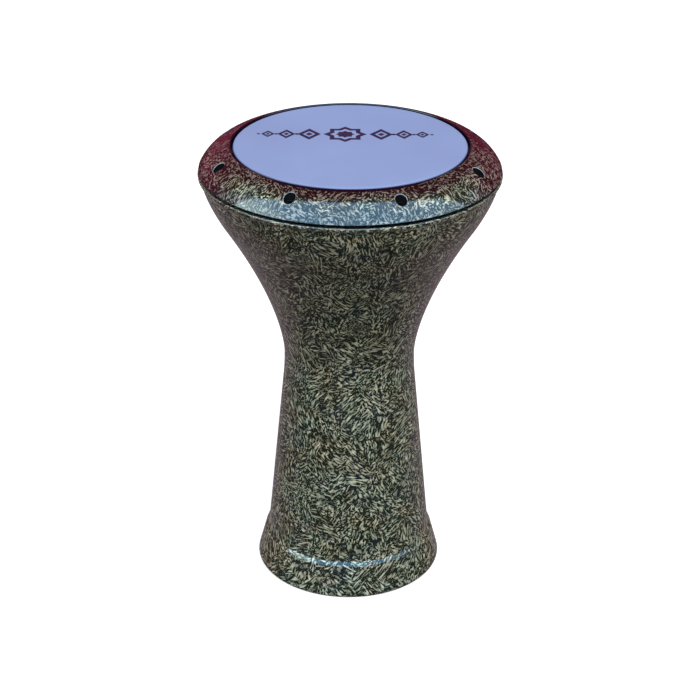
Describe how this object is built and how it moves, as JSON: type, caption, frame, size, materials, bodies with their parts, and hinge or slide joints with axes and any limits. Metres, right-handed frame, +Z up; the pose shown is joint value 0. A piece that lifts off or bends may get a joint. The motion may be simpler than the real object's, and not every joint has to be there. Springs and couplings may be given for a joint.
{
  "type": "darbuka",
  "caption": "Goblet drum with a cast aluminium shell, a tensioned plastic head and a domed tuning ring held by recessed hex-socket bolts.",
  "frame": {"origin": "centre of the circle where the foot's bottom edge rests on the ground", "axes": "+Z up along the drum's axis, from the foot towards the head; -Y is the front; +X is to the right seen from the front"},
  "size_m": [0.286, 0.286, 0.4452],
  "materials": {
    "shell_lacquer": "cast aluminium under dark olive lacquer with a fine straw-like stroke pattern and a glossy clear coat",
    "ring_lacquer": "the same lacquer pattern, glossy, with a maroon cast towards its inner edge",
    "head_film": "smooth satin polyester film, pale blue-violet",
    "bare_aluminium": "bare drawn aluminium, satin",
    "black_steel": "black-oxide hardened steel, lightly oiled",
    "bright_steel": "zinc-plated steel, satin"
  },
  "bodies": {
    "shell_body": {"shell": "shell_lacquer", "drumhead_film": "head_film", "thread_insert_1": "bright_steel", "thread_insert_2": "bright_steel", "thread_insert_3": "bright_steel", "thread_insert_4": "bright_steel", "thread_insert_5": "bright_steel", "thread_insert_6": "bright_steel", "thread_insert_7": "bright_steel", "thread_insert_8": "bright_steel"},
    "ring_body": {"tuning_ring": "ring_lacquer", "head_hoop": "bare_aluminium", "bolt_washer_1": "bright_steel", "bolt_washer_2": "bright_steel", "bolt_washer_3": "bright_steel", "bolt_washer_4": "bright_steel", "bolt_washer_5": "bright_steel", "bolt_washer_6": "bright_steel", "bolt_washer_7": "bright_steel", "bolt_washer_8": "bright_steel"},
    "bolt_1": {"tuning_bolt_1": "black_steel"},
    "bolt_2": {"tuning_bolt_2": "black_steel"},
    "bolt_3": {"tuning_bolt_3": "black_steel"},
    "bolt_4": {"tuning_bolt_4": "black_steel"},
    "bolt_5": {"tuning_bolt_5": "black_steel"},
    "bolt_6": {"tuning_bolt_6": "black_steel"},
    "bolt_7": {"tuning_bolt_7": "black_steel"},
    "bolt_8": {"tuning_bolt_8": "black_steel"}
  },
  "joints": [
    {"name": "ring_travel", "type": "slide", "parent": "shell_body", "child": "ring_body", "axis": [0, 0, 1], "range_m": [-0.002, 0.003]},
    {"name": "bolt_1_turn", "type": "hinge", "parent": "ring_body", "child": "bolt_1", "pos_m": [-0.11989, -0.04483, 0.4319], "axis": [0, 0, 1], "range_deg": [-720, 1080]},
    {"name": "bolt_2_turn", "type": "hinge", "parent": "ring_body", "child": "bolt_2", "pos_m": [-0.05308, -0.11647, 0.4319], "axis": [0, 0, 1], "range_deg": [-720, 1080]},
    {"name": "bolt_3_turn", "type": "hinge", "parent": "ring_body", "child": "bolt_3", "pos_m": [0.04483, -0.11989, 0.4319], "axis": [0, 0, 1], "range_deg": [-720, 1080]},
    {"name": "bolt_4_turn", "type": "hinge", "parent": "ring_body", "child": "bolt_4", "pos_m": [0.11647, -0.05308, 0.4319], "axis": [0, 0, 1], "range_deg": [-720, 1080]},
    {"name": "bolt_5_turn", "type": "hinge", "parent": "ring_body", "child": "bolt_5", "pos_m": [0.11989, 0.04483, 0.4319], "axis": [0, 0, 1], "range_deg": [-720, 1080]},
    {"name": "bolt_6_turn", "type": "hinge", "parent": "ring_body", "child": "bolt_6", "pos_m": [0.05308, 0.11647, 0.4319], "axis": [0, 0, 1], "range_deg": [-720, 1080]},
    {"name": "bolt_7_turn", "type": "hinge", "parent": "ring_body", "child": "bolt_7", "pos_m": [-0.04483, 0.11989, 0.4319], "axis": [0, 0, 1], "range_deg": [-720, 1080]},
    {"name": "bolt_8_turn", "type": "hinge", "parent": "ring_body", "child": "bolt_8", "pos_m": [-0.11647, 0.05308, 0.4319], "axis": [0, 0, 1], "range_deg": [-720, 1080]}
  ],
  "couplings": [
    {"joint": "bolt_1_turn", "follows": "ring_travel", "rad_per_m": 6283.2},
    {"joint": "bolt_2_turn", "follows": "ring_travel", "rad_per_m": 6283.2},
    {"joint": "bolt_3_turn", "follows": "ring_travel", "rad_per_m": 6283.2},
    {"joint": "bolt_4_turn", "follows": "ring_travel", "rad_per_m": 6283.2},
    {"joint": "bolt_5_turn", "follows": "ring_travel", "rad_per_m": 6283.2},
    {"joint": "bolt_6_turn", "follows": "ring_travel", "rad_per_m": 6283.2},
    {"joint": "bolt_7_turn", "follows": "ring_travel", "rad_per_m": 6283.2},
    {"joint": "bolt_8_turn", "follows": "ring_travel", "rad_per_m": 6283.2}
  ]
}
